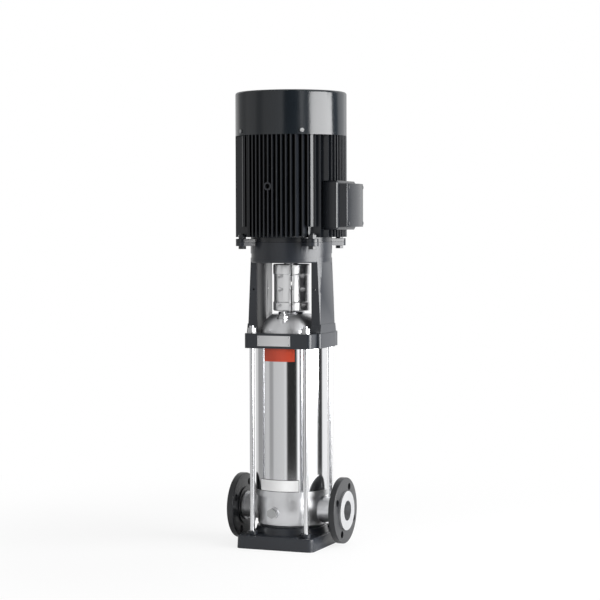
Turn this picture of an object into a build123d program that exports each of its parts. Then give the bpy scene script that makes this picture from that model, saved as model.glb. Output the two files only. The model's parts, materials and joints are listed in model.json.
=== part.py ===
"""Vertical multistage in-line pump with a flange-mounted electric motor.

X is the flow axis, with the suction port on +X and the discharge port on -X.
Z runs up the shaft, and the origin lies on it at the underside of the base plate.
All sizes are millimetres.
"""
from build123d import *
import os
from math import cos, radians, sin, sqrt

os.makedirs("parts", exist_ok=True)

# ---- clearances ----
press_gap = 0.05          # shaft to hub, ring to seat
slip_gap = 0.3            # spigots and other pieces that slide together
thread_gap = 0.1          # a threaded shank in its hole
face_gap = 0.3            # faces that turn past each other
seal_face_gap = 0.1       # lapped faces of the shaft seal

# ---- base plate ----
base_x = 206
base_y = 246
base_height = 32
base_corner = 16
base_draft = 3
pedestal_rise = 16
pedestal_radius = 88
pedestal_flare = 5
base_edge = 3
foot_hole_x = 130
foot_hole_y = 215
foot_hole_radius = 7
foot_seat_radius = 13
foot_seat_depth = 3
pocket_x = 84
pocket_y = 70
pocket_depth = 18
pocket_rib = 8
pocket_corner = 10

# ---- staybolts ----
rod_x = 144               # spacing across the flow axis pair
rod_y = 172
rod_radius = 6
rod_end = 14              # lower end inside the base plate
rod_boss_radius = 13
rod_boss_height = 8
nut_across_flats = 19
nut_height = 11
nut_collar_radius = 12.5
nut_collar = 2.5
rod_tip = 5               # thread that stands above the nut

# ---- base chamber and ports ----
port_height = 90
port_span = 300           # raised face to raised face
port_bore_radius = 25
port_pipe_radius = 30
port_root_radius = 35
port_root_start_x = 53
port_root_x = 78
port_root_end_x = 104
raised_face_radius = 49
raised_face_width = 5
chamber_foot_radius = 80
chamber_belly_radius = 88
chamber_shoulder_radius = 85
collar_radius = 91
collar_height = 15
collar_lip = 8.6           # collar above the sleeve's seat
sleeve_seat_rise = 42      # sleeve's seat above the port axis
chamber_wall = 10
chamber_floor = 8
spigot_wall = 5
spigot_rise = 14
cup_radius = 44
cup_wall = 4
cup_rise = 2               # suction cup above the sleeve's seat
duct_wall = 3.5
drain_x = -14
drain_drop = 2
drain_boss_radius = 15
drain_boss_reach = 7
drain_hole_radius = 8
drain_hex = 22
drain_head = 9
drain_shank = 16

# ---- loose flanges ----
flange_radius = 82.5
flange_width = 16
flange_bolt_circle = 125
flange_hole_radius = 9
flange_hole_count = 4
flange_hole_turn = 66
flange_edge = 2
flange_hub_radius = 46
flange_hub = 3
flange_bore_gap = 1
lock_ring_width = 4
lock_ring_radius = 36
lock_groove_depth = 1.5
lock_ring_slit = 5

# ---- outer sleeve and stage stack ----
sleeve_radius = 75.5
sleeve_wall = 2.5
sleeve_inset = 3           # sleeve's end inside the head
stage_count = 8
stage_height = 45
guide_plate = 4
stage_radius = 64
stage_wall = 2.5
stage_floor = 2
eye_hole_radius = 26
diffuser_level = 26
diffuser_plate = 2
diffuser_radius = 54
return_vane_count = 5
return_vane_inner = 24
return_vane_thick = 2.5
guide_spigot = 8
guide_wall = 3.5
guide_hole_radius = 30

# ---- impellers and pump shaft ----
impeller_radius = 52
impeller_level = 6
shroud_thick = 2
blade_height = 10
blade_count = 5
blade_thick = 2.4
blade_inner = 20
blade_sweep = 62
eye_neck_radius = 25
eye_neck_wall = 2.5
eye_neck_drop = 5.3
hub_radius = 12.5
hub_level = 4
pump_shaft_radius = 8
pump_shaft_tail = 10
seal_shaft_radius = 11
shaft_nut_flats = 20
shaft_nut_height = 8
bush_radius = 16
bush_height = 8
bush_stages = (0, 4)

# ---- pump head and shaft seal ----
head_flange_radius = 84.5
head_flange_height = 12
head_radius = 77
head_shoulder_rise = 31
head_bell_rise = 39
head_top_radius = 50
head_bulge = 3.5
head_wall = 7
head_spigot_drop = 12
head_rib_count = 6
head_rib_thick = 5
head_rib_reach = 60
head_rib_rise = 24
seal_bore_radius = 24
seal_bore_depth = 20
seal_cover_radius = 33
seal_cover_height = 6
seal_cover_spigot = 8
seal_cover_gap = 1
seal_seat_radius = 20
seal_seat_height = 6
seal_ring_radius = 18.5
seal_ring_height = 26
vent_y = 55
vent_boss_radius = 14
vent_boss_drop = 10
spot_face_gap = 1
vent_hole_radius = 7
vent_shank = 9
vent_hex = 22
vent_hex_height = 8
vent_neck_radius = 7.5
vent_neck_height = 6
vent_screw_radius = 3
vent_screw_depth = 14
vent_cap_radius = 5.5
vent_cap_height = 4
seal_ring_section = 1.2
seal_ring_groove = 3

# ---- motor stool ----
plate_x = 180
plate_y = 196
plate_corner = 12
plate_height = 37
leg_width = 100
leg_inner_radius = 89
leg_flat_x = 97
leg_foot_radius = 110
leg_root_x = 99
leg_root_width = 110
leg_root_rise = 22
stool_radius = 102.5
stool_window_height = 175
stool_ring_height = 51
stool_bead_height = 12
stool_band_height = 28
stool_step = 1.5
stool_bore_radius = 82
stool_recess_radius = 88.3
stool_recess_depth = 6
lug_circle = 265
lug_radius = 16
lug_thick = 9
lug_hole_radius = 6.5
guard_hole_radius = 2.5
guard_hole_x = 164
guard_hole_rise = 108
guard_hole_depth = 12

# ---- coupling ----
coupling_rise = 3          # coupling above the seal cover
coupling_height = 117
coupling_radius = 44
coupling_collar_radius = 46
coupling_low_collar = 21
coupling_high_collar = 24.5
coupling_split = 3
coupling_groove = 9
coupling_groove_depth = 8
shaft_grip = 63            # pump shaft inside the coupling
shaft_end_gap = 10
coupling_turn = 22
coupling_core_radius = 24
coupling_chamfer = 2
coupling_screw_levels = (15, 54, 88)
coupling_screw_offset = 33
coupling_screw_radius = 3
coupling_head_radius = 5
coupling_head_height = 6
coupling_pocket_radius = 5.8
coupling_pocket_floor = 14
coupling_socket_flats = 5
coupling_socket_depth = 4
coupling_nut_flats = 10
coupling_nut_height = 4
coupling_screw_end = 5

# ---- motor housing ----
shield_height = 13
frame_height = 252
frame_radius = 139
frame_core_radius = 107
frame_bore_radius = 95
fin_pitch = 11.3
fin_thick = 3
fins_per_side = 16
fin_corner_reach = 131
corner_rib_thick = 7
bolt_relief_radius = 17
bolt_relief_height = 26
eye_boss_radius = 10
eye_boss_rise = 125
eye_boss_reach = 2
eye_hole_depth = 20
eye_thread_radius = 6
box_pad_reach = 11         # pad beyond the frame's core
box_pad_step = 1
box_pad_gap = 7
cable_way_radius = 14
shield_radius = 102
shield_spigot = 8
bearing_lip = 8

# ---- bearings ----
drive_bearing_outer = 40
drive_bearing_bore = 20
drive_bearing_width = 18
drive_bearing_rise = 2
fan_bearing_outer = 31
fan_bearing_bore = 15
fan_bearing_width = 16
fan_bearing_drop = 10
fan_end_web = 8
bearing_ring_share = 0.3
ball_count = 8
housing_wall = 9

# ---- stator, rotor and motor shaft ----
stator_rise = 62
stator_length = 130
stator_bore_radius = 62
slot_count = 24
slot_root_radius = 84
slot_mouth_radius = 67
slot_width = 8
coil_gap = 0.3
coil_overhang = 24
air_gap = 0.6
end_ring_height = 9
end_ring_drop = 4
drive_shaft_radius = 19
core_shaft_radius = 24
fan_shaft_radius = 14
shaft_above_fan = 4

# ---- fan and fan cover ----
cover_overhang = 0.5       # cowl beyond the fins
cover_wall = 2.5
cover_height = 109
cover_round = 6
cover_screw_angles = (-57, -130, 57, 130)
cover_screw_rise = 10
cover_screw_radius = 2.6
cover_head_radius = 5
cover_head_height = 3
ear_width = 16
ear_height = 14
grille_inner = 34
grille_rings = 4
grille_slot = 12
grille_bar = 10
grille_webs = 6
grille_web_width = 14
fan_rise = 24
fan_hub_radius = 24
fan_hub_height = 34
fan_disc_radius = 62
fan_disc_thick = 3
fan_radius = 112
fan_blade_thick = 3
fan_blade_count = 7
fan_blade_height = 36
fan_blade_tip = 16

# ---- terminal box ----
box_half_y = 58
box_rise = 25
box_height = 107
box_depth = 27
box_cover_depth = 34
box_cover_edge = 5
box_wall = 4
box_corner = 7
box_screw_radius = 2.5
box_screw_inset = 9
box_screw_head_radius = 4.5
box_screw_head = 3
box_screw_grip = 12
box_post_radius = 6
block_y = 62
block_z = 28
block_depth = 12
stud_radius = 2.5
stud_height = 9
stud_pitch = 20
gland_hole_radius = 10
gland_hex = 24
gland_collar = 6
gland_nut_radius = 11.5
gland_nut_length = 16
gland_bore_radius = 6.5
gland_tail = 9
gland_edge = 4
flange_nut_flats = 18
flange_nut_height = 10
flange_bolt_head = 7.5
flange_bolt_tip = 3

# ---- sizes that follow from those above ----
chamber_bottom = base_height + pedestal_rise
sleeve_seat = port_height + sleeve_seat_rise
collar_top = sleeve_seat + collar_lip
collar_bottom = collar_top - collar_height
cup_top = sleeve_seat + cup_rise
stack_bottom = cup_top + guide_plate
drain_z = port_height - drain_drop
drain_boss_y = chamber_belly_radius + drain_boss_reach
rod_places = [(sx * rod_x / 2, sy * rod_y / 2) for sx in (-1, 1) for sy in (-1, 1)]
foot_places = [(sx * foot_hole_x / 2, sy * foot_hole_y / 2) for sx in (-1, 1) for sy in (-1, 1)]
lug_places = [(lug_circle / 2, 45 + 90 * k) for k in range(4)]
sleeve_bore_radius = sleeve_radius - sleeve_wall
spigot_radius = sleeve_bore_radius - slip_gap
port_face_x = port_span / 2
flange_face_x = port_face_x - raised_face_width - face_gap
flange_back_x = flange_face_x - flange_width
lock_ring_x = flange_back_x - flange_hub - face_gap
stack_top = stack_bottom + stage_count * stage_height
pump_shaft_end = stack_bottom - pump_shaft_tail
head_flange_bottom = stack_top
head_flange_top = head_flange_bottom + head_flange_height
head_shoulder = head_flange_top + head_shoulder_rise
head_top = head_shoulder + head_bell_rise
sleeve_top = head_flange_bottom + sleeve_inset
vent_boss_top = head_top - vent_boss_drop
seal_cover_top = head_top + seal_cover_height
plate_top = head_flange_bottom + plate_height
stool_ring_bottom = plate_top + stool_window_height
stool_top = stool_ring_bottom + stool_ring_height
coupling_bottom = seal_cover_top + coupling_rise
coupling_top = coupling_bottom + coupling_height
coupling_collar_bottom = coupling_bottom + coupling_low_collar
coupling_collar_top = coupling_top - coupling_high_collar
pump_shaft_top = coupling_bottom + shaft_grip
motor_shaft_bottom = pump_shaft_top + shaft_end_gap
frame_bottom = stool_top + shield_height
frame_top = frame_bottom + frame_height
cover_radius = frame_radius + cover_overhang
cover_top = frame_top + cover_height
cover_screw_z = frame_top + cover_screw_rise
fan_z = frame_top + fan_rise
motor_shaft_top = fan_z + fan_hub_height + shaft_above_fan
drive_bearing_z = stool_top + drive_bearing_rise
fan_bearing_z = frame_top - fan_bearing_drop
stator_bottom = frame_bottom + stator_rise
eye_boss_x = -fin_pitch / 2
eye_boss_z = frame_bottom + eye_boss_rise
box_pad_x = frame_core_radius + box_pad_reach
box_seam_x = box_pad_x + box_depth
box_cover_x = box_seam_x + box_cover_depth
hub_end = stack_bottom + hub_level + stage_count * stage_height
nut_radius = nut_across_flats / sqrt(3)
stator_top = stator_bottom + stator_length
stator_radius = frame_bore_radius - press_gap
rotor_radius = stator_bore_radius - air_gap
box_mid_z = frame_bottom + box_rise + box_height / 2
split_normal = Vector(cos(radians(coupling_turn)), sin(radians(coupling_turn)), 0)
split_toward = Vector(sin(radians(coupling_turn)), -cos(radians(coupling_turn)), 0)


# ---- helpers ----
def ring(outer, inner, bottom, top):
    """A tube about Z between two heights."""
    return Pos(0, 0, bottom) * extrude(Circle(outer) - Circle(inner), top - bottom)


def disc(radius, bottom, top):
    """A cylinder about Z between two heights."""
    return Pos(0, 0, bottom) * extrude(Circle(radius), top - bottom)


def rod(radius, start, direction, length):
    """A round bar from a point along a direction."""
    return extrude(Plane(origin=start, z_dir=direction) * Circle(radius), length)


def hex_bar(flats, start, direction, length):
    """A hexagonal bar from a point along a direction."""
    hexagon = RegularPolygon(flats / 2, 6, major_radius=False)
    return extrude(Plane(origin=start, z_dir=direction) * hexagon, length)


def turned(*points):
    """A solid of revolution about Z from its half section (radius, height)."""
    section = make_face(Polyline(*[(r, 0, z) for r, z in points], close=True))
    return revolve(section, Axis.Z)


def polar(radius, angle):
    """A point in the XY plane."""
    return radius * cos(radians(angle)), radius * sin(radians(angle))


def around(count, shape, start=0):
    """Copies of a shape spread evenly about Z."""
    return [Rot(0, 0, start + 360 * k / count) * shape for k in range(count)]


def lugs(bottom, thick, inner):
    """Four lugs on the bolt circle of the motor flange."""
    circle_radius = lug_circle / 2
    arm = Pos((inner + circle_radius) / 2, 0) * Rectangle(circle_radius - inner, 2 * lug_radius)
    outline = arm + Pos(circle_radius, 0) * Circle(lug_radius)
    lug = Pos(0, 0, bottom) * extrude(outline, thick)
    return around(4, lug, 45)


def lug_holes(bottom, top):
    """The clearance holes through a set of lugs."""
    return [Pos(*polar(r, a)) * disc(lug_hole_radius, bottom, top) for r, a in lug_places]


# ---- base ----
def base_plate():
    """Cast base with drafted sides, a pedestal, staybolt bosses and hollow cells below."""
    outline = RectangleRounded(base_x, base_y, base_corner)
    body = extrude(outline, base_height, taper=base_draft)
    body = fillet(body.faces().sort_by(Axis.Z)[-1].edges(), base_edge)
    body += turned(
        (0, base_height - 1), (pedestal_radius + pedestal_flare, base_height - 1),
        (pedestal_radius, chamber_bottom), (0, chamber_bottom))
    rod_boss_top = base_height + rod_boss_height
    for x, y in rod_places:
        body += Pos(x, y) * disc(rod_boss_radius, base_height - 2, rod_boss_top)
    for x, y in foot_places:
        body -= Pos(x, y) * disc(foot_hole_radius, 0, base_height)
        seat_bottom = base_height - foot_seat_depth
        body -= Pos(x, y) * disc(foot_seat_radius, seat_bottom, rod_boss_top + 1) - Pos(
            *nearest_rod(x, y)) * disc(rod_boss_radius, 0, rod_boss_top + 2)
    for x, y in rod_places:
        body -= Pos(x, y) * disc(rod_radius + thread_gap, rod_end, rod_boss_top)
    cell = extrude(RectangleRounded(pocket_x, pocket_y, pocket_corner), pocket_depth)
    for sx in (-1, 1):
        for sy in (-1, 1):
            x = sx * (pocket_x + pocket_rib) / 2
            y = sy * (pocket_y + pocket_rib) / 2
            body -= Pos(x, y) * cell
    return body


def nearest_rod(x, y):
    """The staybolt beside a foot hole."""
    return min(rod_places, key=lambda p: (p[0] - x) ** 2 + (p[1] - y) ** 2)


def port_outside(side):
    """Stub pipe with its flared root and raised face, on one side of the chamber."""
    pipe = rod(port_pipe_radius, (0, 0, port_height), (side, 0, 0), port_face_x)
    root = revolve(make_face(Polyline(
        (side * port_root_start_x, 0, port_height),
        (side * port_root_start_x, 0, port_height + port_root_radius),
        (side * port_root_x, 0, port_height + port_root_radius),
        (side * port_root_end_x, 0, port_height + port_pipe_radius),
        (side * port_root_end_x, 0, port_height), close=True)),
        Axis((0, 0, port_height), (1, 0, 0)))
    root -= Box(2 * port_span, 2 * base_y, 2 * chamber_bottom)
    start = (side * (port_face_x - raised_face_width), 0, port_height)
    face = rod(raised_face_radius, start, (side, 0, 0), raised_face_width)
    return pipe + root + face


def base_chamber():
    """Stainless chamber: ports, a suction cup under the stages and a ring space around it."""
    body = turned(
        (0, chamber_bottom), (chamber_foot_radius, chamber_bottom),
        (chamber_belly_radius - 2, chamber_bottom + 8), (chamber_belly_radius, port_height),
        (chamber_shoulder_radius, collar_bottom), (collar_radius, collar_bottom),
        (collar_radius, collar_top), (sleeve_radius + slip_gap, collar_top),
        (sleeve_radius + slip_gap, sleeve_seat), (spigot_radius, sleeve_seat),
        (spigot_radius, sleeve_seat + spigot_rise), (0, sleeve_seat + spigot_rise))
    body += port_outside(1) + port_outside(-1)
    body += rod(drain_boss_radius, (drain_x, -chamber_belly_radius + 20, drain_z), (0, -1, 0),
                drain_boss_y - chamber_belly_radius + 20)
    cavity_radius = chamber_belly_radius - 2 - chamber_wall
    floor = chamber_bottom + chamber_floor
    throat = spigot_radius - spigot_wall
    body -= turned(
        (0, floor), (cavity_radius - 8, floor), (cavity_radius, floor + 8),
        (cavity_radius, collar_bottom - 10), (throat, collar_bottom),
        (throat, sleeve_seat + spigot_rise), (0, sleeve_seat + spigot_rise))
    duct = rod(port_bore_radius + duct_wall, (0, 0, port_height), (1, 0, 0), cavity_radius + 2)
    inner = disc(cup_radius, floor - 1, cup_top) + duct
    body += inner
    body -= disc(cup_radius - cup_wall, floor, cup_top)
    body -= rod(port_bore_radius, (0, 0, port_height), (1, 0, 0), port_face_x)
    body -= rod(port_bore_radius, (-cup_radius - 2, 0, port_height), (-1, 0, 0), port_face_x)
    body -= rod(drain_hole_radius + thread_gap, (drain_x, -cup_radius - 5, drain_z), (0, -1, 0),
                drain_boss_y)
    for side in (-1, 1):
        body -= lock_groove(side)
    groove_bottom = sleeve_seat + 6
    body -= ring(spigot_radius + 1, spigot_radius - 2 * seal_ring_section, groove_bottom,
                 groove_bottom + seal_ring_groove)
    return body


def lock_groove(side):
    """Shallow groove in the stub pipe that holds the lock ring."""
    start = (side * lock_ring_x, 0, port_height)
    band = rod(port_pipe_radius + 1, start, (-side, 0, 0), lock_ring_width)
    return band - rod(port_pipe_radius - lock_groove_depth, start, (-side, 0, 0), lock_ring_width)


def port_lock_rings():
    """Split rings that keep the loose flanges on their stub pipes."""
    rings = []
    for side in (-1, 1):
        start = (side * lock_ring_x, 0, port_height)
        outer = rod(lock_ring_radius, start, (-side, 0, 0), lock_ring_width)
        inner = port_pipe_radius - lock_groove_depth + press_gap
        outer -= rod(inner, start, (-side, 0, 0), lock_ring_width)
        slit = Pos(side * (lock_ring_x - lock_ring_width / 2), 0, port_height - lock_ring_radius)
        rings.append(outer - slit * Box(2 * lock_ring_width, lock_ring_slit, lock_ring_radius))
    return Compound(children=rings)


def loose_flange(side):
    """Round flange that turns on the stub pipe, with four bolt holes."""
    outline = Circle(flange_radius) - Circle(port_pipe_radius + flange_bore_gap)
    for k in range(flange_hole_count):
        angle = side * (flange_hole_turn + 360 / flange_hole_count * k)
        outline -= Pos(*polar(flange_bolt_circle / 2, angle)) * Circle(flange_hole_radius)
    plate = extrude(outline, flange_width)
    rims = plate.edges().filter_by(GeomType.CIRCLE).group_by(lambda e: round(e.radius, 3))[-1]
    plate = fillet(rims, flange_edge)
    hub = ring(flange_hub_radius, port_pipe_radius + flange_bore_gap, -flange_hub, 0)
    place = Plane(origin=(side * flange_back_x, 0, port_height), x_dir=(0, 1, 0),
                  z_dir=(side, 0, 0))
    return place * (plate + hub)


def drain_plug():
    """Hexagon plug in the boss on the front of the base chamber."""
    head = hex_bar(drain_hex, (drain_x, -drain_boss_y, drain_z), (0, -1, 0), drain_head)
    return head + rod(drain_hole_radius, (drain_x, -drain_boss_y, drain_z), (0, 1, 0), drain_shank)


# ---- sleeve and stages ----
def outer_sleeve():
    """Polished tube around the stages."""
    return ring(sleeve_radius, sleeve_bore_radius, sleeve_seat, sleeve_top)


def o_rings():
    """Sealing rings at both ends of the sleeve."""
    levels = (sleeve_seat + 6 + seal_ring_groove / 2,
              head_flange_bottom - head_spigot_drop + 3 + seal_ring_groove / 2)
    major = spigot_radius - seal_ring_section + 2 * press_gap
    return Compound(children=[Pos(0, 0, z) * Torus(major, seal_ring_section) for z in levels])


def inlet_guide():
    """Ring that carries the stack on the suction cup and leads the water in."""
    plate = ring(stage_radius, guide_hole_radius, cup_top, stack_bottom)
    outer = cup_radius - cup_wall - slip_gap
    return plate + ring(outer, outer - guide_wall, cup_top - guide_spigot, cup_top)


def stage_chamber(index):
    """Pressed cup with a diffuser plate held by return vanes."""
    body = ring(stage_radius, stage_radius - stage_wall, 0, stage_height)
    body += ring(stage_radius - 1, eye_hole_radius, 0, stage_floor)
    plate_top = diffuser_level + diffuser_plate
    hole = bush_radius if index in bush_stages else hub_radius + 1.5
    body += ring(diffuser_radius, hole, diffuser_level, plate_top)
    start = polar(return_vane_inner, 0)
    middle = polar((return_vane_inner + stage_radius) / 2, 18)
    end = polar(stage_radius - stage_wall / 2, 50)
    vane = trace(ThreePointArc(start, middle, end), line_width=return_vane_thick)
    vane_height = stage_height - plate_top
    solid = Pos(0, 0, plate_top) * extrude(vane, vane_height)
    for copy in around(return_vane_count, solid):
        body += copy
    return Pos(0, 0, stack_bottom + index * stage_height) * body


def impeller(index):
    """Closed impeller with swept blades, an eye neck and a long hub."""
    front_top = impeller_level + shroud_thick
    back_bottom = front_top + blade_height
    neck_bottom = impeller_level - eye_neck_drop
    body = turned(
        (eye_neck_radius - eye_neck_wall, neck_bottom), (eye_neck_radius, neck_bottom),
        (eye_neck_radius, impeller_level), (impeller_radius, impeller_level),
        (impeller_radius, front_top), (eye_neck_radius - eye_neck_wall, front_top))
    start = polar(blade_inner, 0)
    middle = polar((blade_inner + impeller_radius) / 2, -blade_sweep * 0.62)
    end = polar(impeller_radius - 0.5, -blade_sweep)
    blade = trace(ThreePointArc(start, middle, end), line_width=blade_thick)
    solid = Pos(0, 0, front_top) * extrude(blade, blade_height)
    for copy in around(blade_count, solid):
        body += copy
    body += turned(
        (hub_radius - 1, back_bottom), (impeller_radius, back_bottom),
        (impeller_radius, back_bottom + shroud_thick), (hub_radius - 1, back_bottom + shroud_thick))
    body += ring(hub_radius, pump_shaft_radius + press_gap, hub_level, hub_level + stage_height)
    return Pos(0, 0, stack_bottom + index * stage_height) * body


def shaft_bushes():
    """Plain bearings that steady the shaft inside the stack."""
    bushes = []
    for index in bush_stages:
        z = stack_bottom + index * stage_height + diffuser_level
        outer = bush_radius - press_gap
        bush = ring(outer, hub_radius + press_gap, z, z + bush_height)
        lip_bottom = z + diffuser_plate
        bushes.append(bush + ring(bush_radius + 2, outer - 1, lip_bottom, lip_bottom + 2))
    return Compound(children=bushes)


def pump_shaft():
    """Stepped shaft from the first impeller up into the coupling."""
    shoulder = hub_end
    return disc(pump_shaft_radius, pump_shaft_end, shoulder) + disc(
        seal_shaft_radius, shoulder, pump_shaft_top)


def shaft_nut():
    """Nut that clamps the impeller hubs against the shaft's shoulder."""
    top = stack_bottom + hub_level
    nut = hex_bar(shaft_nut_flats, (0, 0, top - shaft_nut_height), (0, 0, 1), shaft_nut_height)
    return nut - disc(pump_shaft_radius + press_gap, pump_shaft_end, top)


# ---- pump head ----
def head_profile(offset, bottom):
    """Half section of the bell-shaped head, moved inwards by a wall."""
    flank = head_radius - offset
    top_radius = head_top_radius - offset
    shoulder = head_shoulder - offset / 2
    top = head_top - offset
    lean = sqrt((flank - top_radius) ** 2 + (top - shoulder) ** 2)
    middle = ((flank + top_radius) / 2 + head_bulge * (top - shoulder) / lean, 0,
              (shoulder + top) / 2 + head_bulge * (flank - top_radius) / lean)
    outline = Polyline((0, 0, top), (0, 0, bottom), (flank, 0, bottom), (flank, 0, shoulder))
    outline += ThreePointArc((flank, 0, shoulder), middle, (top_radius, 0, top))
    outline += Line((top_radius, 0, top), (0, 0, top))
    return revolve(make_face(outline), Axis.Z)


def pump_head():
    """Bell-shaped head that closes the sleeve and carries the seal and the vent plug."""
    spigot_bottom = head_flange_bottom - head_spigot_drop
    body = head_profile(0, head_flange_bottom)
    body += disc(head_flange_radius, head_flange_bottom, head_flange_top)
    body += disc(spigot_radius, spigot_bottom, head_flange_bottom)
    spot_radius = vent_boss_radius + spot_face_gap
    body += Pos(0, -vent_y) * disc(vent_boss_radius, head_flange_top, vent_boss_top)
    body -= Pos(0, -vent_y) * disc(spot_radius, vent_boss_top, head_top)
    cavity = head_profile(head_wall, spigot_bottom)
    cavity -= Pos(0, -vent_y) * disc(spot_radius, vent_boss_top - 2 * head_wall, head_top)
    throat = spigot_radius - spigot_wall
    cavity &= disc(throat, spigot_bottom, head_top)
    body -= cavity
    rib_length = head_radius - head_wall - head_rib_reach + 2
    rib = Pos(head_rib_reach + rib_length / 2, 0, stack_top + head_rib_rise / 2) * Box(
        rib_length, head_rib_thick, head_rib_rise)
    for copy in around(head_rib_count, rib, 30):
        body += copy
    body -= disc(seal_bore_radius + slip_gap, head_top - seal_bore_depth, head_top)
    body -= ring(head_flange_radius, sleeve_bore_radius - press_gap, head_flange_bottom,
                 sleeve_top) & ring(sleeve_radius + slip_gap, sleeve_bore_radius - press_gap,
                                    head_flange_bottom, sleeve_top)
    vent_depth = 3 * head_wall
    body -= Pos(0, -vent_y) * disc(vent_hole_radius + thread_gap, vent_boss_top - vent_depth,
                                   vent_boss_top)
    groove = spigot_bottom + 3
    body -= ring(spigot_radius + 1, spigot_radius - 2 * seal_ring_section, groove,
                 groove + seal_ring_groove)
    return body


def vent_plug():
    """Hexagon plug with a round neck, drilled for the vent screw."""
    body = Pos(0, -vent_y) * disc(vent_hole_radius, vent_boss_top - vent_shank, vent_boss_top)
    body += hex_bar(vent_hex, (0, -vent_y, vent_boss_top), (0, 0, 1), vent_hex_height)
    neck_bottom = vent_boss_top + vent_hex_height
    neck_top = neck_bottom + vent_neck_height
    body += Pos(0, -vent_y) * disc(vent_neck_radius, neck_bottom, neck_top)
    hole = disc(vent_screw_radius + press_gap, neck_top - vent_screw_depth, neck_top)
    return body - Pos(0, -vent_y) * hole


def vent_screw():
    """Small screw that opens the vent when it is turned."""
    top = vent_boss_top + vent_hex_height + vent_neck_height
    seat = top + face_gap
    body = disc(vent_screw_radius, top - vent_screw_depth + 1, seat)
    body += disc(vent_cap_radius, seat, seat + vent_cap_height)
    slot = Pos(0, 0, seat + vent_cap_height) * Box(2 * vent_cap_radius, 1.4, 3)
    return Pos(0, -vent_y) * (body - slot)


def seal_cover():
    """Cover of the cartridge seal on top of the head."""
    hole = seal_shaft_radius + seal_cover_gap
    return ring(seal_cover_radius, hole, head_top, seal_cover_top) + ring(
        seal_bore_radius, hole, head_top - seal_cover_spigot, head_top)


def seal_seat():
    """Stationary seal ring under the cover's spigot."""
    top = head_top - seal_cover_spigot
    return ring(seal_seat_radius, seal_shaft_radius + seal_cover_gap, top - seal_seat_height, top)


def seal_ring():
    """Rotating seal ring on the shaft."""
    top = head_top - seal_cover_spigot - seal_seat_height - seal_face_gap
    collar_height = seal_ring_height - 10
    body = ring(seal_ring_radius, seal_shaft_radius + press_gap, top - seal_ring_height,
                top - seal_ring_height + collar_height)
    return body + ring(seal_ring_radius - 3, seal_shaft_radius + press_gap,
                       top - seal_ring_height + collar_height, top)


# ---- staybolts and nuts ----
def staybolts():
    """Four rods that clamp the sleeve between the base and the stool."""
    top = plate_top + nut_collar + nut_height + rod_tip
    return Compound(children=[Pos(x, y) * disc(rod_radius, rod_end, top) for x, y in rod_places])


def collar_nuts():
    """Collar nuts on the staybolts."""
    nut = disc(nut_collar_radius, 0, nut_collar)
    nut += hex_bar(nut_across_flats, (0, 0, nut_collar), (0, 0, 1), nut_height)
    nut -= disc(rod_radius + press_gap, 0, nut_collar + nut_height)
    return Compound(children=[Pos(x, y, plate_top) * nut for x, y in rod_places])


# ---- motor stool ----
def stool_leg(side):
    """One curved leg, a slice of a tapered tube with a flat outer face."""
    shell = turned(
        (leg_inner_radius, plate_top - 10), (leg_foot_radius, plate_top - 10),
        (leg_foot_radius, plate_top), (stool_radius, stool_ring_bottom + 5),
        (leg_inner_radius, stool_ring_bottom + 5))
    height = stool_ring_bottom + 5 - plate_top + 10
    middle = plate_top - 10 + height / 2
    slab = Pos(side * leg_flat_x / 2, 0, middle) * Box(leg_flat_x, leg_width, height)
    root = Pos(side * leg_root_x / 2, 0, plate_top) * loft([
        Rectangle(leg_root_x, leg_root_width),
        Pos(0, 0, leg_root_rise) * Rectangle(leg_root_x, leg_width - 1)])
    root -= disc(leg_inner_radius, plate_top - 1, plate_top + leg_root_rise + 1)
    return (shell & slab) + root


def motor_stool():
    """Cast stool: foot plate, two legs with open windows between them, ring and lugs."""
    outline = RectangleRounded(plate_x, plate_y, plate_corner) + RectangleRounded(
        2 * leg_root_x, leg_root_width, 8)
    body = Pos(0, 0, head_flange_bottom) * extrude(outline, plate_top - head_flange_bottom)
    body = fillet(body.faces().sort_by(Axis.Z)[-1].edges(), 2)
    body += stool_leg(-1) + stool_leg(1)
    bead_top = stool_ring_bottom + stool_bead_height
    band_bottom = stool_top - stool_band_height
    body += turned(
        (stool_bore_radius, stool_ring_bottom), (stool_radius - stool_step, stool_ring_bottom),
        (stool_radius, stool_ring_bottom + 2 * stool_step), (stool_radius, bead_top),
        (stool_radius - stool_step, bead_top), (stool_radius - stool_step, band_bottom),
        (stool_radius, band_bottom), (stool_radius, stool_top),
        (stool_bore_radius, stool_top))
    for lug in lugs(stool_top - lug_thick, lug_thick, stool_bore_radius + 5):
        body += lug
    body -= disc(stool_recess_radius, stool_top - stool_recess_depth, stool_top)
    for hole in lug_holes(stool_top - lug_thick, stool_top):
        body -= hole
    body -= disc(head_radius + slip_gap, head_flange_bottom, plate_top)
    body -= disc(head_flange_radius + slip_gap, head_flange_bottom, head_flange_top)
    for x, y in rod_places:
        body -= Pos(x, y) * disc(rod_radius + slip_gap, head_flange_bottom, plate_top)
    for side in (-1, 1):
        for x in (-guard_hole_x / 2, guard_hole_x / 2):
            start = (x, side * leg_width / 2, plate_top + guard_hole_rise)
            body -= rod(guard_hole_radius, start, (0, -side, 0), guard_hole_depth)
    return body


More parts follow.
